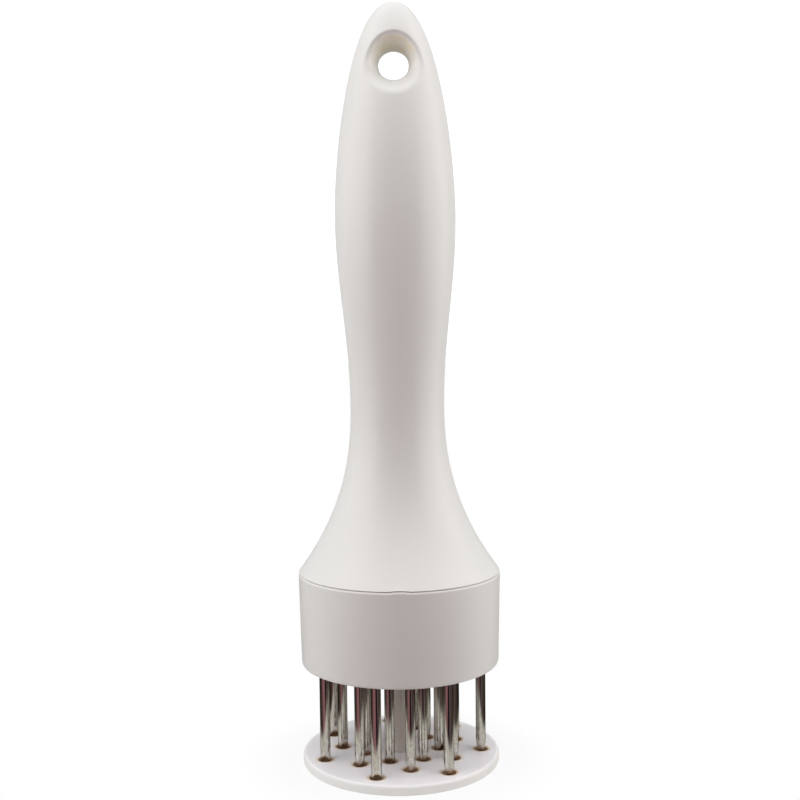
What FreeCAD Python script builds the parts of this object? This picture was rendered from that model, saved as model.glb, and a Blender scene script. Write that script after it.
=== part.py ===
"""Blade meat tenderizer: moulded handle, collar, 21 chisel pins and a sprung guard disc.

Millimetres, +Z up, the front towards -Y. The origin is the middle of the guard disc's underside.
The grip (handle, collar, plates and pins) is one moving group. The guard (disc, stem, washer and
screw) is the other, and slides up into the grip against the return spring.
"""

import FreeCAD
import Part
import math
import os

Vector = FreeCAD.Vector
UP = Vector(0, 0, 1)
CENTRE = Vector(0, 0, 0)

# Overall sizes
overall_height = 190.0
collar_radius = 25.15
disc_inset = 0.15               # disc inside the collar's radius
disc_thickness = 2.4
stroke = 22.0                   # travel of the guard
stop_gap = 1.0                  # left between disc and collar at full stroke
collar_height = 23.15

# Handle outline, a turned shape
bell_overhang = 0.3             # bell rim proud of the collar
lip_height = 1.15               # blunted rim of the bell
lip_setback = 0.5               # how far the flare starts inside the rim
bell_height = 40.5              # lip to waist
waist_radius = 11.8
swell_radius = 15.05
crown_height = 52.2             # swell to tip
flare_power = 2.3               # how suddenly the bell opens
crown_rise = 1.674              # fullness of the crown along its height
crown_round = 2.24              # bluntness of the tip
seam_gap = 0.3                  # dark groove between collar and bell
bell_runs = 5                   # straight runs that follow the outline in each stretch
grip_runs = 4
crown_runs = 5

# Hanging hole
hang_drop = 15.4                # below the tip
hang_radius = 3.77
hang_land = 0.8                 # straight part in the middle
hang_flare = 19.0               # degrees that the mouth opens on each side

# Handle inside
bell_wall = 2.8
spigot_wall = 2.0
spigot_clearance = 0.15         # spigot to collar bore
tube_wall = 2.0
tube_relief = 0.3               # tube stands clear of the clamp plate
rib_count = 3
rib_thickness = 1.8
rib_lift = 3.0                  # ribs stop this far above the clamp plate
core_margin = 19.41             # left between the lightening core and the hanging hole's axis
core_seat = 1.3                 # ledge that the spring bears on

# Bayonet between handle and collar
lug_count = 3
lug_angle = 22.0
lug_reach = 1.0
lug_height = 2.4
lug_lift = 5.6                  # lug underside above the clamp plate
lug_clearance = 0.2
lug_turn = 30.0                 # twist from entry to lock

# Collar
collar_wall = 2.2
collar_lip = 1.05               # ledge that carries the needle plate
collar_recess = 5.0             # needle plate sits this far up in the collar
collar_edge = 0.4               # bevel at the lower rim
nib_width = 4.7                 # small index nib in the seam, at the front
nib_height = 0.2

# Pins
ring_count = 3
pins_per_ring = 7
inner_ring_radius = 9.7
first_pin_angle = -4.07
pin_radius = 1.25
pin_tip = 0.3                   # tip height above the disc's underside at rest
pin_sides = 12                  # flats that stand for the round of a pin and of its guide hole
pin_edge = 0.25                 # width left at the chisel edge
bevel_angle = 15.0              # each side of the chisel
pin_head_lip = 0.7              # head proud of the pin
head_sides = 8
pin_head_height = 1.2
pin_fit = 0.02                  # pin to its socket
socket_sides = 6                # flats of a socket, each touching the pin
outer_pin_margin = 0.25         # outer pins to the collar's lower bore

# Turn of each chisel edge from the X axis, in degrees: outer, middle and inner ring
chisel_turns = {
    "outer": (88, 96, 4, 172, 12, 141, 63),
    "middle": (84, 93, 78, 27, 150, 38, 110),
    "inner": (60, 86, 171, 98, 20, 132, 90),
}

# Plates
plate_thickness = 5.0
plate_clearance = 0.15          # plate edge to collar bore
clamp_thickness = 2.0
clamp_clearance = 0.2           # cover's bore wider than the guide
boss_wall = 2.12
boss_depth = 3.8

# Guard
stem_radius = 3.3
stem_running = 0.08             # radial running clearance in the guide
guide_hole_clearance = 0.6      # disc hole around each pin, on the radius
disc_edge = 0.5                 # bevel around the disc's top
tenon_shoulder = 0.9            # step from column to tenon, on the radius
tenon_fit = 0.03
rivet_lip = 1.2                 # riveted end proud of the tenon, sunk in the disc's underside
rivet_height = 1.0
rivet_recess = 0.3
rest_gap = 0.05                 # stop washer to clamp plate at rest

# Washer and screw
washer_margin = 0.5             # washer to the spring's bore
washer_sides = 24
washer_thickness = 1.0
washer_hole_clearance = 0.25    # around the screw
screw_sides = 12
screw_radius = 1.1
screw_head_radius = 2.0
screw_head_height = 1.4
screw_length = 9.0
screw_fit = 0.02
cross_width = 0.6
cross_depth = 0.7

# Spring
wire_radius = 0.4
wire_sides = 4                  # flats that stand for the wire's round section
coil_radius = 5.3
coil_clearance = 0.8            # coil to bore
coil_turns = 5
spans_per_turn = 2              # biarcs that follow each turn
end_turns = 1.0                 # nearly closed turn at each end
end_pitch = 1.35
spring_height = 62.5
spring_gap = 0.02               # spring end to its seats

# Heights that follow from the sizes above
collar_bottom = disc_thickness + stroke + stop_gap
collar_top = collar_bottom + collar_height
bell_bottom = collar_top + seam_gap
ledge_z = collar_bottom + collar_recess
plate_top = ledge_z + plate_thickness
heads_top = plate_top + pin_head_height
clamp_top = heads_top + clamp_thickness
washer_bottom = clamp_top + rest_gap
washer_top = washer_bottom + washer_thickness
spring_bottom = washer_top + spring_gap
spring_top = spring_bottom + spring_height
spring_seat = spring_top + spring_gap
lip_z = bell_bottom + lip_height
waist_z = lip_z + bell_height
swell_z = overall_height - crown_height
hang_z = overall_height - hang_drop
core_top = hang_z - core_margin

# Radii that follow from the sizes above
disc_radius = collar_radius - disc_inset
bell_radius = collar_radius + bell_overhang
flare_radius = bell_radius - lip_setback
collar_bore = collar_radius - collar_wall
lower_bore = collar_bore - collar_lip
plate_radius = collar_bore - plate_clearance
spigot_radius = collar_bore - spigot_clearance
spigot_bore = spigot_radius - spigot_wall
spring_bore = coil_radius + wire_radius + coil_clearance
tube_radius = spring_bore + tube_wall
core_radius = spring_bore - core_seat
outer_ring_radius = lower_bore - outer_pin_margin - pin_radius
ring_step = (outer_ring_radius - inner_ring_radius) / (ring_count - 1)
pin_pitch = 360.0 / pins_per_ring
pin_head_radius = pin_radius + pin_head_lip
guide_radius = stem_radius + stem_running
boss_radius = guide_radius + boss_wall
tenon_radius = stem_radius - tenon_shoulder
rivet_radius = tenon_radius + rivet_lip
washer_radius = spring_bore - washer_margin
washer_hole_radius = screw_radius + washer_hole_clearance


def polar(radius, degrees, z=0.0):
    """Point at a radius and an angle around the tool's axis."""
    angle = math.radians(degrees)
    return Vector(radius * math.cos(angle), radius * math.sin(angle), z)


def cylinder(radius, low, high):
    """Upright cylinder on the tool's axis between two heights."""
    return Part.makeCylinder(radius, high - low, Vector(0, 0, low))


def turned(points, degrees=360.0):
    """Solid swept about Z by (radius, height) corners, with its skin facing outwards."""
    corners = [Vector(radius, 0, z) for radius, z in points]
    solid = Part.Face(Part.makePolygon(corners + corners[:1])).revolve(CENTRE, UP, degrees)
    if solid.Volume < 0:
        solid.reverse()
    return solid


def ring_part(inner, outer, low, high, middle, sweep):
    """Piece of a ring between two heights, centred on an angle."""
    piece = turned([(inner, low), (outer, low), (outer, high), (inner, high)], sweep)
    piece.rotate(CENTRE, UP, middle - sweep / 2)
    return piece


def bar(sides, radius, low, high, spot=CENTRE):
    """Upright bar with a few flats, whose corners lie on a circle of the radius."""
    outline = [polar(radius, 360 * (i + 0.5) / sides, low) + spot for i in range(sides)]
    return Part.Face(Part.makePolygon(outline + outline[:1])).extrude(Vector(0, 0, high - low))


def hole(sides, radius, low, high, spot=CENTRE):
    """Tool for an upright hole with a few flats, each touching a circle of the radius."""
    return bar(sides, radius / math.cos(math.pi / sides), low, high, spot)


def half_width(z):
    """Handle radius at a height: a power curve in the bell, a cosine grip and an elliptic crown."""
    if z < waist_z:
        drop = (waist_z - z) / bell_height
        return waist_radius + (flare_radius - waist_radius) * drop ** flare_power
    if z < swell_z:
        rise = (z - waist_z) / (swell_z - waist_z)
        return waist_radius + (swell_radius - waist_radius) * (1 - math.cos(math.pi * rise)) / 2
    rise = round((z - swell_z) / crown_height, 9)
    return swell_radius * (1 - rise ** crown_rise) ** (1 / crown_round)


def stations():
    """Heights where the outline's straight runs meet, closer together towards the tip."""
    bell = [lip_z + bell_height * i / bell_runs for i in range(bell_runs)]
    grip = [waist_z + (swell_z - waist_z) * i / grip_runs for i in range(grip_runs)]
    quarter = math.pi / 2
    crown = [swell_z + crown_height * math.sin(quarter * i / crown_runs) for i in range(crown_runs + 1)]
    return bell + grip + crown


def handle_outside():
    """The turned outer shape, from the rim of the bell to the tip."""
    rim = [(0, bell_bottom), (bell_radius, bell_bottom), (bell_radius, bell_bottom + lip_height / 2)]
    return turned(rim + [(half_width(z), z) for z in stations()])


def bell_hollow():
    """Space inside the bell around the spring tube, with the stiffening ribs left standing."""
    levels = [z for z in stations() if lip_z < z < waist_z]
    side = [(half_width(z) - bell_wall, z) for z in levels]
    side = [spot for spot in side if tube_radius + 1 < spot[0] < spigot_bore][::2]
    roof = side[-1][1]
    hollow = turned([(tube_radius, clamp_top), (spigot_bore, clamp_top), (spigot_bore, lip_z)]
                    + side + [(tube_radius, roof)])
    for i in range(rib_count):
        rib = Part.makeBox(bell_radius, rib_thickness, roof,
                           Vector(0, -rib_thickness / 2, clamp_top + rib_lift))
        rib.rotate(CENTRE, UP, 360 / rib_count * (i + 0.5))
        hollow = hollow.cut(rib)
    return hollow


def hanging_hole():
    """Tool for the hole through the crown: a short straight land that opens in a cone to each side."""
    reach = swell_radius + 2
    half_land = hang_land / 2
    mouth = hang_radius + (reach - half_land) * math.tan(math.radians(hang_flare))
    tool = turned([
        (0, -reach), (mouth, -reach), (hang_radius, -half_land),
        (hang_radius, half_land), (mouth, reach), (0, reach),
    ])
    tool.rotate(CENTRE, Vector(1, 0, 0), 90)
    tool.translate(Vector(0, 0, hang_z))
    return tool


def handle():
    """One moulding: bell, grip and crown outside; spigot, lugs, spring tube and ribs inside."""
    body = handle_outside().cut(hanging_hole())
    body = body.fuse(cylinder(spigot_radius, clamp_top, bell_bottom + 1))
    for i in range(lug_count):
        low = clamp_top + lug_lift
        body = body.fuse(ring_part(spigot_radius - 1, spigot_radius + lug_reach,
                                   low, low + lug_height, 90 + 360 / lug_count * i, lug_angle))
    body = body.cut(bell_hollow())
    body = body.cut(cylinder(spring_bore, clamp_top - 1, spring_seat))
    body = body.cut(cylinder(tube_radius + 0.1, clamp_top - 1, clamp_top + tube_relief))
    body = body.cut(cylinder(core_radius, spring_seat - 1, core_top))
    notch_sweep = math.degrees((nib_width + 0.8) / collar_radius)
    body = body.cut(ring_part(collar_radius - 1.4, bell_radius + 1, bell_bottom - 1,
                              bell_bottom + nib_height, -90, notch_sweep))
    return body.removeSplitter()


def collar():
    """Straight ring under the bell: ledge for the needle plate, bayonet slots and index nib."""
    body = turned([
        (lower_bore, collar_bottom), (collar_radius - collar_edge, collar_bottom),
        (collar_radius, collar_bottom + collar_edge), (collar_radius, collar_top),
        (collar_bore, collar_top), (collar_bore, ledge_z), (lower_bore, ledge_z),
    ])
    slot_low = clamp_top + lug_lift - lug_clearance
    slot_high = slot_low + lug_height + 2 * lug_clearance
    slot_radius = spigot_radius + lug_reach + lug_clearance
    slot_sweep = lug_angle + 2
    for i in range(lug_count):
        middle = 90 + 360 / lug_count * i
        entry = ring_part(collar_bore - 1, slot_radius, slot_low, collar_top + 1,
                          middle - lug_turn, slot_sweep)
        run = ring_part(collar_bore - 1, slot_radius, slot_low, slot_high,
                        middle - lug_turn / 2, slot_sweep + lug_turn)
        body = body.cut(entry.fuse(run))
    nib_sweep = math.degrees(nib_width / collar_radius)
    body = body.fuse(ring_part(collar_radius - 1.2, collar_radius - 0.1,
                               collar_top - 0.5, collar_top + nib_height, -90, nib_sweep))
    return body.removeSplitter()


def pin_places():
    """Name, place and chisel turn of every pin; the middle ring sits between the other two."""
    places = []
    for ring, name in enumerate(("inner", "middle", "outer")):
        radius = inner_ring_radius + ring_step * ring
        start = first_pin_angle - (pin_pitch / 2 if name == "middle" else 0)
        for i in range(pins_per_ring):
            spot = polar(radius, start - pin_pitch * i)
            places.append((f"needle_{name}_{i + 1}", spot, chisel_turns[name][i]))
    return places


def needle(turn):
    """Pin with a trapped head, ground from two sides to a chisel edge."""
    pin = bar(pin_sides, pin_radius, pin_tip, plate_top)
    half_edge = pin_edge / 2
    wide = pin_radius + 1
    shoulder = pin_tip + (wide - half_edge) / math.tan(math.radians(bevel_angle))
    corners = [
        Vector(-half_edge, -wide, pin_tip), Vector(half_edge, -wide, pin_tip),
        Vector(wide, -wide, shoulder), Vector(wide, -wide, plate_top),
        Vector(-wide, -wide, plate_top), Vector(-wide, -wide, shoulder),
    ]
    wedge = Part.Face(Part.makePolygon(corners + corners[:1])).extrude(Vector(0, 2 * wide, 0))
    pin = pin.common(wedge)
    pin = pin.fuse(bar(head_sides, pin_head_radius, plate_top, heads_top))
    pin.rotate(CENTRE, UP, 90 + turn)
    return pin


def needle_plate():
    """Thick plate that the pins hang in, with the stem's guide boss under its middle."""
    boss_end = ledge_z - boss_depth
    plate = turned([
        (guide_radius, boss_end), (boss_radius, boss_end), (boss_radius, ledge_z),
        (plate_radius, ledge_z), (plate_radius, plate_top), (guide_radius, plate_top),
    ])
    sockets = [
        hole(socket_sides, pin_radius + pin_fit, ledge_z - 1, plate_top + 1, spot)
        for _, spot, _ in pin_places()
    ]
    return plate.cut(Part.makeCompound(sockets))


def clamp_plate():
    """Flat cover that the handle's spigot presses down on the pin heads."""
    plate = cylinder(plate_radius, heads_top, clamp_top)
    return plate.cut(cylinder(guide_radius + clamp_clearance, heads_top - 1, clamp_top + 1))


def guard_disc():
    """Thin disc with a guide hole for each pin and a stepped hole for the stem's riveted end."""
    step = rivet_recess + rivet_height
    disc = turned([
        (rivet_radius + tenon_fit, 0), (disc_radius, 0), (disc_radius, disc_thickness - disc_edge),
        (disc_radius - disc_edge, disc_thickness), (tenon_radius + tenon_fit, disc_thickness),
        (tenon_radius + tenon_fit, step), (rivet_radius + tenon_fit, step),
    ])
    holes = [
        hole(pin_sides, pin_radius + guide_hole_clearance, -1, disc_thickness + 1, spot)
        for _, spot, _ in pin_places()
    ]
    return disc.cut(Part.makeCompound(holes))


def guard_stem():
    """Column that carries the disc: riveted end below, screw pilot above."""
    step = rivet_recess + rivet_height
    stem = turned([
        (0, rivet_recess), (rivet_radius, rivet_recess), (rivet_radius, step), (tenon_radius, step),
        (tenon_radius, disc_thickness), (stem_radius, disc_thickness),
        (stem_radius, washer_bottom), (0, washer_bottom),
    ])
    depth = screw_length - washer_thickness + 0.5
    return stem.cut(hole(screw_sides, screw_radius + screw_fit, washer_bottom - depth, washer_bottom + 1))


def stop_washer():
    """Washer on the stem's end: it rests on the clamp plate and carries the spring."""
    washer = bar(washer_sides, washer_radius, washer_bottom, washer_top)
    return washer.cut(hole(screw_sides, washer_hole_radius, washer_bottom - 1, washer_top + 1))


def stem_screw():
    """Screw with a cross recess that holds the stop washer on the stem."""
    screw = bar(screw_sides, screw_radius, washer_top - screw_length, washer_top)
    screw = screw.fuse(bar(screw_sides, screw_head_radius, washer_top, washer_top + screw_head_height))
    arm = screw_head_radius * 0.6
    low = washer_top + screw_head_height - cross_depth
    for turn in (0, 90):
        slot = Part.makeBox(2 * arm, cross_width, 2 * cross_depth, Vector(-arm, -cross_width / 2, low))
        slot.rotate(CENTRE, UP, turn)
        screw = screw.cut(slot)
    return screw


def coil_height(turns):
    """Height of the wire's middle after some turns: nearly closed ends, an even pitch between."""
    low = spring_bottom + wire_radius
    high = spring_top - wire_radius
    end_rise = end_turns * end_pitch
    pitch = (high - low - 2 * end_rise) / (coil_turns - 2 * end_turns)
    if turns < end_turns:
        return low + turns * end_pitch
    if turns > coil_turns - end_turns:
        return high - (coil_turns - turns) * end_pitch
    return low + end_rise + (turns - end_turns) * pitch


def coil_point(turns):
    """Place of the wire's middle after some turns."""
    return polar(coil_radius, 360 * turns, coil_height(turns))


def coil_direction(turns):
    """Direction of the wire after some turns."""
    step = 0.02
    rise = (coil_height(turns + step) - coil_height(turns - step)) / (2 * step)
    angle = 2 * math.pi * turns
    around = 2 * math.pi * coil_radius
    return Vector(-around * math.sin(angle), around * math.cos(angle), rise).normalize()


def arc_from(start, knee, end):
    """Arc between two points, tangent to the lines to their knee."""
    middle = (start + end) * 0.5
    to_knee = knee - middle
    chord = (end - start).Length / 2
    turn = math.atan2(to_knee.Length, chord)
    crest = middle + to_knee * (chord * math.tan(turn / 2) / to_knee.Length)
    return Part.Arc(start, crest, end).toShape()


def biarc(start, leaving, end, arriving):
    """Two arcs joined smoothly between two points and directions."""
    gap = end - start
    both = leaving + arriving
    a = both.dot(both) - 4
    b = -2 * gap.dot(both)
    c = gap.dot(gap)
    reach = c / -b if abs(a) < 1e-9 else (-b - math.sqrt(b * b - 4 * a * c)) / (2 * a)
    if reach < 0:
        reach = (-b + math.sqrt(b * b - 4 * a * c)) / (2 * a)
    knee_one = start + leaving * reach
    knee_two = end - arriving * reach
    joint = (knee_one + knee_two) * 0.5
    return [arc_from(start, knee_one, joint), arc_from(joint, knee_two, end)]


def return_spring():
    """Compression spring: one wire along a coil of biarcs."""
    edges = []
    for i in range(coil_turns * spans_per_turn):
        start, end = i / spans_per_turn, (i + 1) / spans_per_turn
        edges += biarc(coil_point(start), coil_direction(start), coil_point(end), coil_direction(end))
    path = Part.Wire(edges)
    side = polar(1, 0)
    lift = coil_direction(0).cross(side)
    corners = []
    for i in range(wire_sides):
        angle = 2 * math.pi * (i + 0.5) / wire_sides
        across = side * (wire_radius * math.cos(angle)) + lift * (wire_radius * math.sin(angle))
        corners.append(coil_point(0) + across)
    section = Part.makePolygon(corners + corners[:1])
    spring = path.makePipeShell([section], True, False)
    report_spring_gap()
    return spring


def report_spring_gap():
    """Print the least gap between one turn of the wire and the rest, measured on points."""
    steps = 48
    points = [coil_point(i / steps) for i in range(coil_turns * steps + 1)]
    least = min(
        (points[i] - points[j]).Length
        for i in range(len(points))
        for j in range(i + steps // 2, len(points))
    )
    print(f"return_spring: least gap to itself {least - 2 * wire_radius:.2f} mm")


def build():
    """Every piece by its node name."""
    pieces = {
        "handle": handle(),
        "collar": collar(),
        "needle_plate": needle_plate(),
        "clamp_plate": clamp_plate(),
        "guard_disc": guard_disc(),
        "guard_stem": guard_stem(),
        "stop_washer": stop_washer(),
        "stem_screw": stem_screw(),
        "return_spring": return_spring(),
    }
    for name, spot, turn in pin_places():
        pin = needle(turn)
        pin.translate(spot)
        pieces[name] = pin
    return pieces


os.makedirs("parts", exist_ok=True)
for node, shape in build().items():
    shape.exportStep(f"parts/{node}.step")
    print(f"{node}: {len(shape.Solids)} solid, {shape.Volume:.0f} cubic mm, valid {shape.isValid()}")
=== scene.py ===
"""Looks of the blade meat tenderizer: moulded white plastic, polished pins and a thin guard disc.

Metres, in the frame's own axes: +Z up the handle, the front towards -Y.
Small sizes are written in millimetres times mm.
"""

import math

import bmesh
import bpy
import numpy as np
from mathutils import Matrix, Vector
from mathutils.geometry import delaunay_2d_cdt


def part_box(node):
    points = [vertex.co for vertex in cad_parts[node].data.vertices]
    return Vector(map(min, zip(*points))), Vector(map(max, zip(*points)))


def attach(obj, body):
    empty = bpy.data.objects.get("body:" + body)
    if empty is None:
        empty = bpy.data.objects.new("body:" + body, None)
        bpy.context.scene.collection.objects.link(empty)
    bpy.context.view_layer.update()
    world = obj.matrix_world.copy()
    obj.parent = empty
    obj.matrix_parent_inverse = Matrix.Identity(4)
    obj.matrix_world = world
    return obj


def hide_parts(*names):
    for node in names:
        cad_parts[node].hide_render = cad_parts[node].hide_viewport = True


mm = 0.001
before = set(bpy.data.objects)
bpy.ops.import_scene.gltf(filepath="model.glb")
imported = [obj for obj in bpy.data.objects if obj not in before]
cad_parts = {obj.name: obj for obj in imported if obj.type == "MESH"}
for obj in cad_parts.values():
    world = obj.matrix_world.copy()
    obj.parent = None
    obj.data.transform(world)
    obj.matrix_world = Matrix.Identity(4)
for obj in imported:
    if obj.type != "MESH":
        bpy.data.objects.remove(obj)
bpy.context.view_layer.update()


# Sizes read from the frame

def low(node):
    """Lowest height of a node."""
    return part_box(node)[0].z


def high(node):
    """Greatest height of a node."""
    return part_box(node)[1].z


def middle(node):
    """Place of a node's axis, seen from above."""
    corner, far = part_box(node)
    return np.array([(corner.x + far.x) / 2, (corner.y + far.y) / 2])


handle_top = high("handle")
clamp_top = high("clamp_plate")
collar_bottom = low("collar")
disc_top = high("guard_disc")
disc_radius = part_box("guard_disc")[1].x
washer_bottom = low("stop_washer")
pin_nodes = sorted(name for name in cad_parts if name.startswith("needle_") and name != "needle_plate")

# Handle outline, the same shape as the frame's, drawn smooth
bell_bottom = 48.68 * mm
lip_z = 49.35 * mm
lip_round = 0.09 * mm
lip_step = 0.15 * mm            # from the lip's underside to the first row of the outline
flare_radius = 24.95 * mm
waist_z = 90.5 * mm
waist_radius = 11.8 * mm
swell_z = 137.8 * mm
swell_radius = 15.05 * mm
crown_height = handle_top - swell_z
flare_power = 2.3
crown_rise = 1.674
crown_round = 2.24
bell_rows, grip_rows, crown_rows = 66, 48, 110
handle_sides = 200

# Hanging hole
hang_z = 174.6 * mm
hang_radius = 3.77 * mm
hang_land = 0.4 * mm            # half the straight part
hang_throat = 4.4 * mm          # depth of the steep part next to the neck
throat_width = 0.5 * mm         # width over which the steep part dies away
hang_slope = 1.25               # depth gained per width further out
low_slope = 0.6                 # added to the slope straight below the neck
mouth_round = 2.9 * mm          # depth over which the mouth's edge is rounded
window_low = 160.5 * mm         # the hole's patch fills the skin between these two heights
window_high = 185.6 * mm
window_turn = 58.0              # and this many degrees to each side
patch_rows = 84

# Handle inside and collar
spigot_radius = 22.8 * mm
spigot_bore = 20.8 * mm
bell_wall = 2.8 * mm
hollow_top = 74.3 * mm
tube_radius = 8.5 * mm
tube_relief = 0.3 * mm          # tube stands clear of the clamp plate
spring_bore = 6.5 * mm
core_radius = 5.2 * mm
spring_seat = 102.19 * mm
core_height = 53.0 * mm
collar_top = 48.63 * mm
collar_radius = 25.5 * mm       # at the seam
collar_draft = 0.5 * mm         # narrower at its lower edge
collar_foot_round = 0.8 * mm
collar_edge = 0.65 * mm         # rounding of its top edge, the light ridge under the seam
collar_bore = 22.95 * mm
collar_lower_bore = 21.9 * mm
collar_sides = 320
ledge_z = 30.4 * mm

# Index nib in the seam
nib_half = 1.7 * mm             # half width
nib_rise = 0.25 * mm
nib_end = 0.4 * mm              # half the length over which the rise falls off at each end
nib_fade = 1.2 * mm             # the rise dies away over this height, and this far inwards

# Pins
pin_radius = 1.25 * mm
pin_edge = 0.12 * mm            # half the chisel's edge
pin_bevel = math.radians(15.0)
bevel_ease = 0.12 * mm          # rounding between bevel and shaft
wedge_margin = 0.4 * mm         # fine rows go on this far above the bevel
wedge_rows, shaft_rows, pin_sides = 44, 8, 64
rinsed_side = -42.0             # outer pins near this direction, in degrees from the front, face the left lamp and get less painted shade
rinsed_spread = 30.0

# Disc and column
guide_radius = 1.85 * mm        # mouth of a guide hole
guide_bore = 1.7 * mm
rim_top = 0.75 * mm             # roundings of the disc's rim
rim_low = 0.4 * mm
rim_flat = 1.5 * mm             # width of the rim's own ring
hole_ease = 0.16 * mm
halo = 1.0 * mm                 # ring round each hole that carries the painted shade
# reach of the painted shade round each guide hole
hole_shade_reach = 1.1 * mm
rim_sides, hole_sides = 256, 40
stem_radius = 3.3 * mm
stem_sides = 96
tenon_radius = 2.4 * mm
rivet_radius = 3.6 * mm
rivet_low, rivet_high = 0.3 * mm, 1.15 * mm
rivet_fit = 0.05 * mm

# Stage
tent_radius = 0.9
tent_height = 1.2
front_distance = 0.6
front_height = 0.42
front_colour = "#4D1C19"
shadow_full, shadow_end = 27 * mm, 44 * mm   # the floor keeps the object's shadow within these radii
pale_edge = 44 * mm             # where the mirrored floor turns from pale to the dim surround
surround_bands = [              # direction in degrees from the front towards +X, and colour
    (-90, "#2E2624"), (270, "#2E2624"), (-72, "#54443F"), (-62, "#2A2024"), (-50, "#8A6064"),
    (-14, "#9E7276"), (-4, "#3E2026"), (12, "#1E161C"), (23, "#2A1F24"), (30, "#94868A"),
    (38, "#342828"), (60, "#5C4C44"), (90, "#2E2624"), (180, "#403C34"),
]
sky_colour = (0.965, 1.0, 1.045, 1)
sky_strength = 1.19
floor_half, floor_z = 3.0, -0.03 * mm
lamp_width, lamp_length, lamp_z = 0.45, 0.8, 0.3

# Camera of the photograph
camera_place = (0.68 * mm, -286.2 * mm, 110.6 * mm)
camera_down = 3.75              # degrees
camera_roll = 0.65
camera_lens = 51.23


# Meshes

def grid_faces(rows, columns, closed=True):
    """Quads of a grid of points; a closed grid joins its last column to its first."""
    last = columns if closed else columns - 1
    row, column = np.meshgrid(np.arange(rows - 1), np.arange(last), indexing="ij")
    after = (column + 1) % columns
    here, above = row * columns, (row + 1) * columns
    return np.stack([here + column, here + after, above + after, above + column], axis=-1).reshape(-1, 4)


def weld(mesh, reach=0.2e-6):
    """Joins points that lie on each other, and turns every face outwards."""
    work = bmesh.new()
    work.from_mesh(mesh)
    bmesh.ops.remove_doubles(work, verts=work.verts, dist=reach)
    bmesh.ops.recalc_face_normals(work, faces=work.faces)
    work.to_mesh(mesh)
    work.free()


def new_object(name, points, faces, material):
    """Object with a mesh of points and faces, in the scene, at the origin."""
    mesh = bpy.data.meshes.new(name)
    mesh.from_pydata(np.asarray(points).reshape(-1, 3).tolist(), [], [list(face) for face in faces])
    mesh.materials.append(material)
    made = bpy.data.objects.new(name, mesh)
    bpy.context.scene.collection.objects.link(made)
    return made


def piece(name, points, faces, body, node, material, crease=35.0):
    """Part of the object, welded, smooth except at creases, riding on its body in place of a node."""
    made = new_object(name, points, faces, material)
    weld(made.data)
    made.data.shade_smooth()
    made.data.set_sharp_from_angle(angle=math.radians(crease))
    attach(made, body)
    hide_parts(node)
    return made


def upright_grid(x, y, height):
    """Grid of points from its x and y and one height for each row."""
    return np.stack([x, y, np.broadcast_to(np.asarray(height)[:, None], x.shape)], axis=-1)


def turned_points(profile, sides, spot=(0.0, 0.0)):
    """Grid of a profile of (radius, height) turned about an upright axis:
    x = radius cos angle, y = radius sin angle, one row for each point of the profile."""
    radius, height = np.asarray(profile).T
    around = circle(1.0, sides)
    return upright_grid(spot[0] + radius[:, None] * around[:, 0], spot[1] + radius[:, None] * around[:, 1], height)


def circle(radius, sides, spot=(0.0, 0.0)):
    """Loop of points round a spot."""
    angle = np.linspace(0, 2 * np.pi, sides, endpoint=False)
    return np.stack([spot[0] + radius * np.cos(angle), spot[1] + radius * np.sin(angle)], axis=-1)


def filleted(corners, steps=6):
    """Profile through (radius, height, fillet) corners, each fillet an arc tangent to both sides."""
    points = []
    for i, (r, z, fillet) in enumerate(corners):
        here = np.array([r, z])
        if fillet <= 0 or i in (0, len(corners) - 1):
            points.append(here[None])
            continue
        back = np.array(corners[i - 1][:2]) - here
        ahead = np.array(corners[i + 1][:2]) - here
        back /= np.linalg.norm(back)
        ahead /= np.linalg.norm(ahead)
        half = math.acos(np.clip(back @ ahead, -1, 1)) / 2
        centre = here + (back + ahead) / np.linalg.norm(back + ahead) * fillet / math.sin(half)
        start = here + back * fillet / math.tan(half) - centre
        end = here + ahead * fillet / math.tan(half) - centre
        t = np.linspace(0, 1, steps)[:, None]
        spread = math.acos(np.clip(start @ end / fillet ** 2, -1, 1))
        arc = (np.sin((1 - t) * spread) * start + np.sin(t * spread) * end) / math.sin(spread)
        points.append(centre + arc)
    return np.concatenate(points)


def soft_minimum(first, second, soft):
    """The lesser of two values, rounded off where they differ by less than soft."""
    near = np.clip(soft - np.abs(first - second), 0, None) / soft
    return np.minimum(first, second) - near ** 2 * soft / 4


def mark_painted_light(made, amount):
    """Point attribute of painted light and shade, read by the materials that paint it: an amount
    worked out from the points' places, held between 0 and 1."""
    mesh = made.data
    corners = np.empty(len(mesh.vertices) * 3)
    mesh.vertices.foreach_get("co", corners)
    layer = mesh.attributes.new("painted_light", "FLOAT", "POINT")
    layer.data.foreach_set("value", np.clip(amount(corners.reshape(-1, 3)), 0, 1))


# Materials

def tone(hex_code):
    """Linear colour of an sRGB hex value."""
    parts = [int(hex_code[i:i + 2], 16) / 255 for i in (1, 3, 5)]
    return [p / 12.92 if p <= 0.04045 else ((p + 0.055) / 1.055) ** 2.4 for p in parts] + [1.0]


def add(tree, kind, inputs=None, **settings):
    """Adds a node with its settings; an input is a value or another node's output."""
    made = tree.nodes.new(kind)
    for name, value in settings.items():
        setattr(made, name, value)
    for key, value in (inputs or {}).items():
        if isinstance(value, bpy.types.NodeSocket):
            tree.links.new(value, made.inputs[key])
        else:
            made.inputs[key].default_value = value
    return made


def new_material(name):
    """Empty node material with its tree and the object's own coordinates."""
    material = bpy.data.materials.new(name)
    material.use_nodes = True
    tree = material.node_tree
    tree.nodes.clear()
    return material, tree, add(tree, "ShaderNodeTexCoord").outputs["Object"]


def finish_material(tree, shader):
    """Sends the shader to the surface."""
    add(tree, "ShaderNodeOutputMaterial", {"Surface": shader.outputs[0]})


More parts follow.
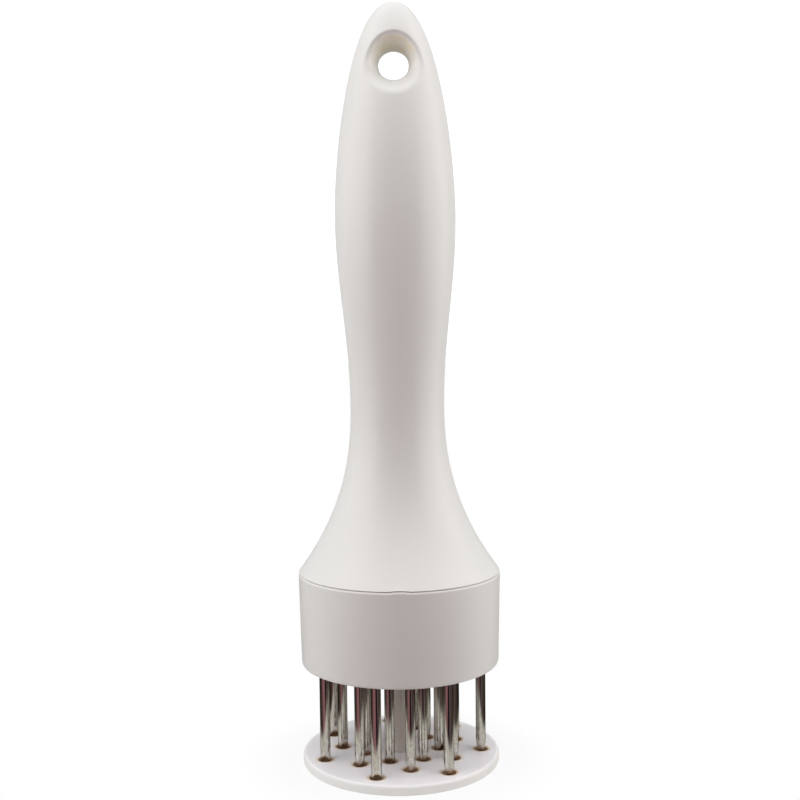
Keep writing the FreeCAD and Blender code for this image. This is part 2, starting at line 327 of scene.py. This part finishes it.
def noise(tree, place, size, detail=2.0, stretch=(1, 1, 1)):
    """Noise whose blotches measure about the given size; a stretch under 1 draws them out."""
    drawn = add(tree, "ShaderNodeMapping", {"Vector": place, "Scale": stretch})
    made = add(tree, "ShaderNodeTexNoise", {"Vector": drawn.outputs[0], "Scale": 1 / size, "Detail": detail})
    return made.outputs["Fac"]


def ramp(tree, value, start, end, low_value=0.0, high_value=1.0):
    """Value taken smoothly from a low to a high one between two inputs."""
    made = add(tree, "ShaderNodeMapRange", {
        "Value": value, "From Min": start, "From Max": end, "To Min": low_value, "To Max": high_value,
    }, interpolation_type="SMOOTHSTEP")
    return made.outputs["Result"]


def blend(tree, factor, first, second):
    """Colour between two colours or colour outputs."""
    made = add(tree, "ShaderNodeMix", {"Factor": factor, "A": first, "B": second}, data_type="RGBA")
    return made.outputs["Result"]


def summed(tree, first, *others):
    """Sum of values and outputs."""
    for value in others:
        first = add(tree, "ShaderNodeMath", {0: first, 1: value}, operation="ADD").outputs[0]
    return first


def times(tree, value, factor):
    """Product of two values or outputs."""
    return add(tree, "ShaderNodeMath", {0: value, 1: factor}, operation="MULTIPLY").outputs[0]


def bumped(tree, height, distance, strength):
    """Surface direction tilted by a fine relief."""
    made = add(tree, "ShaderNodeBump", {"Height": height, "Distance": distance, "Strength": strength})
    return made.outputs["Normal"]


def painted_light_amount(tree):
    """The piece's own attribute of painted light and shade."""
    return add(tree, "ShaderNodeAttribute", attribute_name="painted_light").outputs["Fac"]


def moulded_plastic(name, base, deep, roughness, painted_top_light=None, painted_light_tints=()):
    """Injection-moulded ABS with a satin mould finish: a slow drift of tone from the melt's flow,
    a cloudy change of gloss from handling, and a fine eroded grain that breaks up the highlight.
    An upper face can be painted paler as painted light, and each tint (start, full, share, colour)
    paints light or shade in patches where the piece's own painted light attribute lies between its start and full
    values."""
    material, tree, place = new_material(name)
    colour = blend(tree, noise(tree, place, 28 * mm), tone(base), tone(deep))
    if painted_top_light:
        # painted light: faces that look up are drawn paler
        facing = add(tree, "ShaderNodeNewGeometry").outputs["Normal"]
        upward = add(tree, "ShaderNodeSeparateXYZ", {"Vector": facing}).outputs["Z"]
        colour = blend(tree, ramp(tree, upward, 0.5, 1.0), colour, tone(painted_top_light))
    if painted_light_tints:
        # painted light and painted shade, set by the piece's attribute and broken into patches
        patches = ramp(tree, noise(tree, place, 2.4 * mm, 3.0), 0.2, 0.75, 0.5, 1.15)
        patchy = times(tree, painted_light_amount(tree), patches)
        for start, full, share, hex_code in painted_light_tints:
            colour = blend(tree, ramp(tree, patchy, start, full, 0.0, share), colour, tone(hex_code))
    gloss = summed(tree, times(tree, noise(tree, place, 9 * mm, 1.0), 0.08), roughness - 0.015)
    shader = add(tree, "ShaderNodeBsdfPrincipled", {
        "Base Color": colour, "Roughness": gloss, "IOR": 1.53,
        "Normal": bumped(tree, noise(tree, place, 0.35 * mm), 0.004 * mm, 0.5),
        "Subsurface Weight": 0.06, "Subsurface Radius": (1.2, 1.0, 0.8), "Subsurface Scale": 1.0 * mm,
    })
    finish_material(tree, shader)
    return material


def polished_pin_steel():
    """Stainless rod, ground and polished. Fine rings of the grinding wheel draw highlights out
    along the shaft, and dried water leaves small dull spots. A brown painted shade darkens the tips,
    less on the outer pins that face the left lamp. The steel darkens towards its edges, and a dark
    painted shade sits where the shaft meets the collar."""
    material, tree, place = new_material("polished_stainless_rod")
    height = add(tree, "ShaderNodeSeparateXYZ", {"Vector": place}).outputs["Z"]
    # painted shade: brown at the tips, from the attribute and a noise
    tip_shade_amount = summed(tree, painted_light_amount(tree), noise(tree, place, 1.1 * mm, 3.0))
    tip_shade = ramp(tree, tip_shade_amount, 0.6, 1.6, 0.0, 0.85)
    low_part = ramp(tree, height, 8 * mm, 18 * mm, 0.38, 0.1)
    spots = noise(tree, place, 0.5 * mm, 3.0, (1, 1, 0.7))
    spotted = times(tree, ramp(tree, spots, 0.5, 0.7), low_part)
    # painted shade: dark where the shaft meets the collar's lower rim
    collar_shade = ramp(tree, height, collar_bottom - 0.9 * mm, collar_bottom - 0.1 * mm, 0.0, 0.9)
    colour = blend(tree, spotted, tone("#CFCDC6"), tone("#86816F"))
    colour = blend(tree, tip_shade, colour, tone("#7E5E42"))
    colour = blend(tree, collar_shade, colour, tone("#1E1816"))
    rings = noise(tree, place, 0.1 * mm, 2.0, (0.05, 0.05, 1.0))
    rough = summed(tree, 0.1, times(tree, tip_shade, 0.22), times(tree, spotted, 0.2))
    shader = add(tree, "ShaderNodeBsdfPrincipled", {
        "Base Color": colour, "Metallic": 1.0, "Roughness": rough, "Specular Tint": tone("#6A6258"),
        "Normal": bumped(tree, rings, 0.002 * mm, 0.3),
    })
    finish_material(tree, shader)
    return material


def plain_steel(name, base, roughness):
    """Drawn or stamped stainless steel with a soft directionless haze."""
    material, tree, place = new_material(name)
    haze = times(tree, noise(tree, place, 0.6 * mm, 3.0), 0.13)
    shader = add(tree, "ShaderNodeBsdfPrincipled", {
        "Base Color": tone(base), "Metallic": 1.0, "Roughness": summed(tree, haze, roughness - 0.05),
    })
    finish_material(tree, shader)
    return material


# painted light: the roof of the hanging hole drawn paler and cream
white_plastic = moulded_plastic("satin_white_abs", "#E9E7E3", "#E3E1DC", 0.30,
                                painted_light_tints=[(0.0, 0.6, 1.0, "#FDFCF9"), (0.25, 1.1, 1.0, "#FFF6DF")])
# painted light: the disc's top drawn paler; painted shade: tan round and in the guide holes
disc_plastic = moulded_plastic("satin_white_abs_painted_light", "#E8E6E3", "#E2E0DC", 0.34, painted_top_light="#FCF8FA",
                               painted_light_tints=[(0.05, 0.5, 0.8, "#E9D6BE"), (0.5, 1.0, 0.8, "#C9A077")])
# painted shade: the stem is the same white plastic, drawn darker and pinker
stem_plastic = moulded_plastic("white_abs_painted_shade", "#DDD5CF", "#D2C9C2", 0.38)
plate_plastic = moulded_plastic("white_abs_inside", "#DEDCD7", "#D6D3CE", 0.42)
pin_steel = polished_pin_steel()
spring_steel = plain_steel("drawn_spring_wire", "#A8A8AA", 0.28)
fastener_steel = plain_steel("stamped_stainless", "#B4B4B6", 0.32)


# Handle

def half_width(z):
    """Radius of the handle at a height: a power curve in the bell, a cosine in the grip and a
    superellipse in the crown."""
    drop = np.clip((waist_z - z) / (waist_z - lip_z), 0, None)
    bell = waist_radius + (flare_radius - waist_radius) * drop ** flare_power
    rise = np.clip((z - waist_z) / (swell_z - waist_z), 0, 1)
    grip = waist_radius + (swell_radius - waist_radius) * (1 - np.cos(np.pi * rise)) / 2
    up = np.clip((z - swell_z) / crown_height, 0, 1)
    crown = swell_radius * (1 - up ** crown_rise) ** (1 / crown_round)
    return np.where(z < waist_z, bell, np.where(z < swell_z, grip, crown))


def skin_depth(x, z):
    """Distance of the handle's turned outside in front of its middle plane."""
    return np.sqrt(np.clip(half_width(z) ** 2 - x ** 2, 0, None))


def handle_levels():
    """Heights of the outline's rows, from just above the lip to the tip. In the crown the height
    and radius share one turning angle, which keeps the rows even over the blunt tip."""
    bell = np.linspace(bell_bottom + lip_step, waist_z, bell_rows, endpoint=False)
    grip = np.linspace(waist_z, swell_z, grip_rows, endpoint=False)
    turn = np.linspace(0, np.pi / 2, crown_rows)
    crown = swell_z + crown_height * np.sin(turn) ** (2 / crown_rise)
    return np.concatenate([bell, grip, crown])


def mouth_depth(x, z):
    """Distance of the handle's skin in front of its middle plane, around the hanging hole: the
    lesser of the turned outside and a trumpet with a steep throat, blended where the two are
    close. The mouth is crisp at its top and soft below, and the trumpet is steeper below."""
    from_axis = np.hypot(x, z - hang_z)
    below = np.clip((hang_z - z) / from_axis, -1, 1)
    throat = hang_throat * (1 - np.exp((hang_radius - from_axis) / throat_width))
    slope = hang_slope + low_slope * np.clip(below, 0, 1) ** 2
    trumpet = hang_land + throat + (from_axis - hang_radius) * slope
    return soft_minimum(skin_depth(x, z), trumpet, mouth_round * (0.62 + 0.38 * below))


def hole_patch(edge):
    """Grid from a closed edge on the front skin inwards to the neck of the hole: straight rays in
    the XZ plane towards the hole's axis, each point pushed forward by mouth_depth."""
    across = edge[:, 0]
    up = edge[:, 2] - hang_z
    reach = np.hypot(across, up)
    step = np.linspace(0, 1, patch_rows)[:, None]
    from_axis = reach + (hang_radius - reach) * step
    x = from_axis * across / reach
    z = hang_z + from_axis * up / reach
    rows = np.stack([x, -mouth_depth(x, z), z], axis=-1)
    rows[0] = edge
    neck = rows[-1:].copy()
    neck[..., 1] = 0.0
    return np.concatenate([rows, neck])


def painted_light_in_hole(corners):
    """Painted light in the hanging hole, paler and cream: full from 2 mm under the handle's skin,
    and strongest in the roof of the hole, which faces down into shade."""
    x, y, z = corners.T
    roof = np.clip(0.55 + (z - hang_z) / (8 * mm), 0, 1)
    depth = np.clip((skin_depth(x, z) - np.abs(y)) / (2 * mm), 0, 1)
    return roof * depth * (np.hypot(x, z - hang_z) < 9.5 * mm)


def handle_profile(levels):
    """Closed outline of the handle from its axis out: core, spring tube, bell's wall, spigot, lip
    and outside."""
    radius = half_width(levels)
    tube = [
        (0, spring_seat + core_height), (core_radius, spring_seat + core_height),
        (core_radius, spring_seat), (spring_bore, spring_seat), (spring_bore, clamp_top + tube_relief),
        (tube_radius, clamp_top + tube_relief), (tube_radius, hollow_top),
    ]
    wall_levels = np.linspace(hollow_top, lip_z, 16)
    wall = np.stack([np.minimum(half_width(wall_levels) - bell_wall, spigot_bore), wall_levels], axis=-1)
    spigot = [(spigot_bore, clamp_top), (spigot_radius, clamp_top)]
    lip = filleted([
        (spigot_radius, bell_bottom, 0), (radius[0] - 0.02 * mm, bell_bottom, lip_round),
        (radius[0], levels[0], 0),
    ], 5)[:-1]
    return np.concatenate([tube, wall, spigot, lip, np.stack([radius, levels], axis=-1)])


def make_handle():
    """One moulding: turned outside with the hanging hole, and inside it the spigot, the spring
    tube and the core. A window is cut from the turned grid at the front and at the back, and each
    is filled with a patch of the hole's mouth."""
    sides = handle_sides
    levels = handle_levels()
    profile = handle_profile(levels)
    points = raise_nib(turned_points(profile, sides))
    faces = grid_faces(len(profile), sides)
    first = len(profile) - len(levels)
    low_row = first + np.searchsorted(levels, window_low) - 1
    high_row = first + np.searchsorted(levels, window_high, side="right")
    half = round(window_turn / 360 * sides)
    face_row, face_side = np.divmod(faces[:, 0], sides)
    keep = np.ones(len(faces), bool)
    all_points, patch_faces = [points.reshape(-1, 3)], []
    count = len(profile) * sides
    for centre in (sides * 3 // 4, sides // 4):
        offset = (face_side - centre + sides // 2) % sides - sides // 2
        keep &= ~((face_row >= low_row) & (face_row < high_row) & (offset >= -half) & (offset < half))
        columns = (centre + np.arange(-half, half + 1)) % sides
        rows = np.arange(low_row, high_row + 1)
        edge = np.concatenate([
            points[low_row, columns[:-1]], points[rows[:-1], columns[-1]],
            points[high_row, columns[:0:-1]], points[rows[:0:-1], columns[0]],
        ])
        facing = [1, np.sign(-edge[0, 1]), 1]
        patch = hole_patch(edge * facing) * facing
        all_points.append(patch.reshape(-1, 3))
        patch_faces.append(grid_faces(*patch.shape[:2]) + count)
        count += patch.shape[0] * patch.shape[1]
    used, corners = np.unique(np.concatenate([faces[keep]] + patch_faces), return_inverse=True)
    handle = piece("handle_moulding", np.concatenate(all_points)[used], corners.reshape(-1, 4),
                   "grip", "handle", white_plastic)
    # painted light in the hanging hole
    mark_painted_light(handle, painted_light_in_hole)


# Collar

def raise_nib(points):
    """Lifts the seam over the index nib at the front: the rise falls off smoothly at the nib's
    ends, and within a millimetre above and below the seam."""
    x, y, z = np.moveaxis(points, -1, 0)
    along = np.clip((nib_half + nib_end - np.abs(x)) / (2 * nib_end), 0, 1)
    near = np.clip(1 - np.abs(z - bell_bottom) / nib_fade, 0, 1)
    edge = np.clip((np.hypot(x, y) - collar_bore) / nib_fade, 0, 1)
    rise = nib_rise * along ** 2 * (3 - 2 * along) * near * edge * (y < 0)
    return points + np.stack([0 * z, 0 * z, rise], axis=-1)


def make_collar():
    """Turned ring with a slight draft, a thin rounded lower rim, an eased upper edge and the nib."""
    profile = filleted([
        (collar_lower_bore, ledge_z, 0), (collar_lower_bore, collar_bottom, 0.25 * mm),
        (collar_radius - collar_draft, collar_bottom, collar_foot_round),
        (collar_radius, collar_top, collar_edge), (collar_bore, collar_top, 0.1 * mm),
        (collar_bore, ledge_z, 0), (collar_lower_bore, ledge_z, 0),
    ], 9)
    points = raise_nib(turned_points(profile, collar_sides))
    piece("collar_ring", points, grid_faces(len(profile), collar_sides), "grip", "collar",
          white_plastic)


# Pins

def chisel_turn(node):
    """Direction across a pin's chisel, from the frame's own lowest edge."""
    corners = np.array([v.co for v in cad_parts[node].data.vertices], float).reshape(-1, 3)
    edge = corners[corners[:, 2] < low(node) + 0.01 * mm][:, :2]
    _, _, axes = np.linalg.svd(edge - edge.mean(axis=0), full_matrices=False)
    return math.atan2(axes[0, 1], axes[0, 0]) - math.pi / 2


def make_pin(node):
    """Round rod ground from two sides to a chisel edge. Across the chisel a point of the circle is
    held within the wedge's half width, which grows with the height over the edge. Its painted shade
    falls from the tip up, and is less on the outer pins that face the left lamp."""
    spot = middle(node)
    tip, top = low(node), high(node)
    turn = chisel_turn(node)
    wedge_top = tip + (pin_radius - pin_edge) / math.tan(pin_bevel) + wedge_margin
    height = np.concatenate([
        np.linspace(tip, wedge_top, wedge_rows, endpoint=False), np.linspace(wedge_top, top, shaft_rows),
    ])
    limit = (pin_edge + (height - tip) * math.tan(pin_bevel))[:, None]
    across, along = circle(pin_radius, pin_sides).T
    across = np.sign(across) * soft_minimum(np.abs(across), limit, bevel_ease)
    x = spot[0] + across * math.cos(turn) - along * math.sin(turn)
    y = spot[1] + across * math.sin(turn) + along * math.cos(turn)
    rows = upright_grid(x, y, height)
    ends = [np.broadcast_to(rows[end].mean(axis=0), rows[:1].shape) for end in (0, -1)]
    grid = np.concatenate([ends[0], rows, ends[1]])
    pin = piece(node + "_rod", grid, grid_faces(len(grid), pin_sides), "grip", node, pin_steel, 40)
    direction = math.degrees(math.atan2(spot[0], -spot[1]))
    # outer pins facing the left lamp get less painted shade at the tips
    rinsed = math.exp(-((direction - rinsed_side) / rinsed_spread) ** 2) * ("outer" in node)
    tip_shade_top = disc_top + (2.3 - 1.8 * rinsed) * mm
    mark_painted_light(pin, lambda corners: (tip_shade_top - corners[:, 2]) / (2.0 * mm))


# Disc and column

def holed_plane(outline, holes, height):
    """Flat sheet at a height between an outer circle and round holes, all given as point loops.
    Triangles inside a hole have all their corners on its circle, and are dropped."""
    loops = [outline] + holes
    edges = []
    start = 0
    for loop in loops:
        edges += [(start + i, start + (i + 1) % len(loop)) for i in range(len(loop))]
        start += len(loop)
    result = delaunay_2d_cdt([tuple(p) for p in np.concatenate(loops)], edges, [], 1, 1e-9)
    corners = np.array([tuple(p) for p in result[0]])
    faces = np.array(result[2])
    for hole in holes:
        centre = hole.mean(axis=0)
        edge = np.linalg.norm(hole[0] - centre) * 1.001
        faces = faces[(np.linalg.norm(corners[faces] - centre, axis=2) > edge).any(axis=1)]
    return np.column_stack([corners, np.full(len(corners), height)]), faces


def painted_shade_round_holes(corners):
    """Painted shade round the guide holes, tan, from full at a hole's bore to nothing at the reach."""
    spots = np.array([middle(node) for node in pin_nodes])
    nearest = np.linalg.norm(corners[:, None, :2] - spots, axis=2).min(axis=1) - guide_bore
    return 1 - nearest / hole_shade_reach


def make_disc():
    """Thin disc with a soft rim: a turned rim, two holed sheets, and in each hole a turned lining
    whose ring on the top sheet carries the painted shade round the hole."""
    flat = disc_radius - rim_flat
    rim = filleted([
        (flat, 0, 0), (disc_radius, 0, rim_low), (disc_radius, disc_top, rim_top), (flat, disc_top, 0),
    ], 9)
    guide = filleted([
        (guide_radius + halo, 0, 0), (guide_bore, 0, hole_ease),
        (guide_bore, disc_top - 0.35 * mm, 0.15 * mm), (guide_radius, disc_top, 0.12 * mm),
        (guide_radius + 0.25 * mm, disc_top, 0), (guide_radius + halo, disc_top, 0),
    ], 5)
    socket = np.array([
        (rivet_radius + hole_ease, 0), (rivet_radius, hole_ease), (rivet_radius, disc_top * 0.5),
        (stem_radius, disc_top * 0.5), (stem_radius, disc_top), (stem_radius + halo, disc_top),
    ])
    linings = [(guide, middle(node)) for node in pin_nodes] + [(socket, np.zeros(2))]
    parts = [(turned_points(rim, rim_sides), grid_faces(len(rim), rim_sides))]
    for profile, spot in linings:
        parts.append((turned_points(profile, hole_sides, spot), grid_faces(len(profile), hole_sides)))
    for end, height in ((0, 0.0), (-1, disc_top)):
        loops = [circle(profile[end][0], hole_sides, spot) for profile, spot in linings]
        parts.append(holed_plane(circle(flat, rim_sides), loops, height))
    points, faces, count = [], [], 0
    for corners, part_faces in parts:
        points.append(corners.reshape(-1, 3))
        faces += (part_faces + count).tolist()
        count += len(points[-1])
    disc = piece("guard_disc_plate", np.concatenate(points), faces, "guard", "guard_disc",
                 disc_plastic)
    # painted shade: tan round and in the guide holes
    mark_painted_light(disc, painted_shade_round_holes)


def make_stem():
    """Moulded column with a small fillet on the disc and a riveted end under it."""
    head = rivet_radius - rivet_fit
    profile = filleted([
        (0, rivet_low, 0), (head, rivet_low, 0.2 * mm), (head, rivet_high, 0),
        (tenon_radius, rivet_high + 0.1 * mm, 0), (tenon_radius, disc_top, 0),
        (stem_radius + 0.5 * mm, disc_top, 0), (stem_radius, disc_top + 0.5 * mm, 0.3 * mm),
        (stem_radius, washer_bottom, 0.2 * mm), (0, washer_bottom, 0),
    ], 6)
    piece("guard_stem_column", turned_points(profile, stem_sides), grid_faces(len(profile), stem_sides),
          "guard", "guard_stem", stem_plastic)


def dress_frame_nodes():
    """Gives the frame's own hidden pieces their finishes."""
    finishes = {
        "needle_plate": plate_plastic, "clamp_plate": plate_plastic, "return_spring": spring_steel,
        "stop_washer": fastener_steel, "stem_screw": fastener_steel,
    }
    for node, material in finishes.items():
        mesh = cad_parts[node].data
        mesh.materials.clear()
        mesh.materials.append(material)


# Stage

def surround_colour(tree, place):
    """Colour of the dim surround by direction: brown all round, with pinkish and dark upright
    bands towards the front."""
    turn = add(tree, "ShaderNodeTexGradient", {"Vector": place}, gradient_type="RADIAL").outputs["Fac"]
    colours = add(tree, "ShaderNodeValToRGB", {"Fac": turn})
    bands = colours.color_ramp.elements
    for i, (direction, hex_code) in enumerate(surround_bands):
        position = 0.25 + direction / 360
        band = bands[i] if i < 2 else bands.new(position)
        band.position = position
        band.color = tone(hex_code)
    return colours.outputs["Color"]


def floor_paper():
    """White paper: plain white to the camera, with the object's soft shadow kept near its foot.
    Mirrored in the object, it is pale near the foot and turns into a dim surround further out.
    From below it is clear, and shows the disc's underside."""
    material, tree, place = new_material("white_studio_paper")
    from_foot = add(tree, "ShaderNodeVectorMath", {0: place}, operation="LENGTH").outputs["Value"]
    path = add(tree, "ShaderNodeLightPath").outputs
    mirrored = path["Is Glossy Ray"]
    to_eye = add(tree, "ShaderNodeMath", {0: path["Is Camera Ray"], 1: path["Is Transmission Ray"]},
                 operation="MAXIMUM").outputs[0]
    seen_white = times(tree, to_eye, ramp(tree, from_foot, shadow_full, shadow_end, 0.84, 1.0))
    far = ramp(tree, from_foot, pale_edge - 5 * mm, pale_edge + 6 * mm)
    reflected = blend(tree, far, tone("#D8D6CE"), surround_colour(tree, place))
    glow = add(tree, "ShaderNodeEmission", {"Color": blend(tree, mirrored, (1, 1, 1, 1), reflected)})
    paper = add(tree, "ShaderNodeBsdfDiffuse", {"Color": tone("#EFEFEF")})
    above = add(tree, "ShaderNodeMixShader", {
        0: summed(tree, seen_white, mirrored), 1: paper.outputs[0], 2: glow.outputs[0],
    })
    below = add(tree, "ShaderNodeNewGeometry").outputs["Backfacing"]
    clear = add(tree, "ShaderNodeBsdfTransparent")
    finish_material(tree, add(tree, "ShaderNodeMixShader", {0: below, 1: above.outputs[0], 2: clear.outputs[0]}))
    return material


def card_material(name, hex_code, strength):
    """Cloth or board of the tent: one even colour, lit from behind."""
    material, tree, _ = new_material(name)
    finish_material(tree, add(tree, "ShaderNodeEmission", {"Color": tone(hex_code), "Strength": strength}))
    return material


def make_floor():
    """Level sheet of white paper just under the disc."""
    corners = [(x * floor_half, y * floor_half, floor_z) for x, y in ((-1, -1), (1, -1), (1, 1), (-1, 1))]
    new_object("floor", corners, [(0, 1, 2, 3)], floor_paper())


def make_card(name, hex_code, strength, left, right, outline):
    """Card of the tent, unseen by the camera: an outline of (distance, height) swept round the
    object between two directions, in degrees from the front towards +X."""
    turn = np.radians(np.linspace(left, right, 25))
    distance, height = np.array(outline).T
    points = upright_grid(distance[:, None] * np.sin(turn), -distance[:, None] * np.cos(turn), height)
    card = new_object(name, points, grid_faces(len(outline), len(turn), closed=False),
                      card_material(name + "_cloth", hex_code, strength))
    card.visible_camera = False
    return card


def make_tent():
    """White tent with bright sides, a dim back and an open front whose low part is dark red."""
    wall = [(tent_radius, 0), (tent_radius, tent_height)]
    make_card("tent_back", "#FFFFFF", 0.45, 114, 246, wall)
    make_card("tent_left", "#FFFDFB", 1.87, -90, -50, wall)
    make_card("tent_right", "#FFFDFB", 1.80, 50, 114, wall)
    foot = (front_distance, 0.5 * mm)
    front_floor = make_card("front_floor", front_colour, 1.0, -50, 50, [(45 * mm, 0.5 * mm), foot])
    front_floor.visible_glossy = False
    make_card("open_front", front_colour, 1.0, -50, 50, [foot, (front_distance, front_height)])


def make_lamp(name, direction, distance, strength):
    """Soft upright lamp at a direction in degrees from the front, facing the object; its strength
    is the brightness of its face."""
    data = bpy.data.lights.new(name, "AREA")
    data.shape = "RECTANGLE"
    data.size, data.size_y = lamp_width, lamp_length
    data.energy = strength * math.pi * lamp_width * lamp_length
    lamp = bpy.data.objects.new(name, data)
    turn = math.radians(direction)
    place = Vector((distance * math.sin(turn), -distance * math.cos(turn), lamp_z))
    facing = (place - Vector((0, 0, 0.1))).to_track_quat("Z", "Y")
    lamp.matrix_world = Matrix.Translation(place) @ facing.to_matrix().to_4x4()
    bpy.context.scene.collection.objects.link(lamp)


def make_world():
    """Even, slightly cool white surroundings."""
    world = bpy.data.worlds.new("white_studio")
    bpy.context.scene.world = world
    world.use_nodes = True
    tree = world.node_tree
    tree.nodes.clear()
    sky = add(tree, "ShaderNodeBackground", {"Color": sky_colour, "Strength": sky_strength})
    add(tree, "ShaderNodeOutputWorld", {"Surface": sky.outputs[0]})


def make_camera():
    """Camera of the photograph: level with the grip, tipped down a little and rolled."""
    data = bpy.data.cameras.new("camera")
    data.sensor_width = 36.0
    data.lens = camera_lens
    data.clip_start = 0.01
    camera = bpy.data.objects.new("camera", data)
    pitch, roll = math.radians(90 - camera_down), math.radians(-camera_roll)
    tilt = Matrix.Rotation(pitch, 4, "X") @ Matrix.Rotation(roll, 4, "Z")
    camera.matrix_world = Matrix.Translation(camera_place) @ tilt
    bpy.context.scene.collection.objects.link(camera)
    bpy.context.scene.camera = camera


bpy.context.scene.view_settings.view_transform = "Standard"
make_camera()
make_world()
make_floor()
make_tent()
make_lamp("left_lamp", -42, 0.55, 0.6)
make_lamp("right_lamp", 26, 0.55, 0.22)
make_handle()
make_collar()
for pin_node in pin_nodes:
    make_pin(pin_node)
make_disc()
make_stem()
dress_frame_nodes()
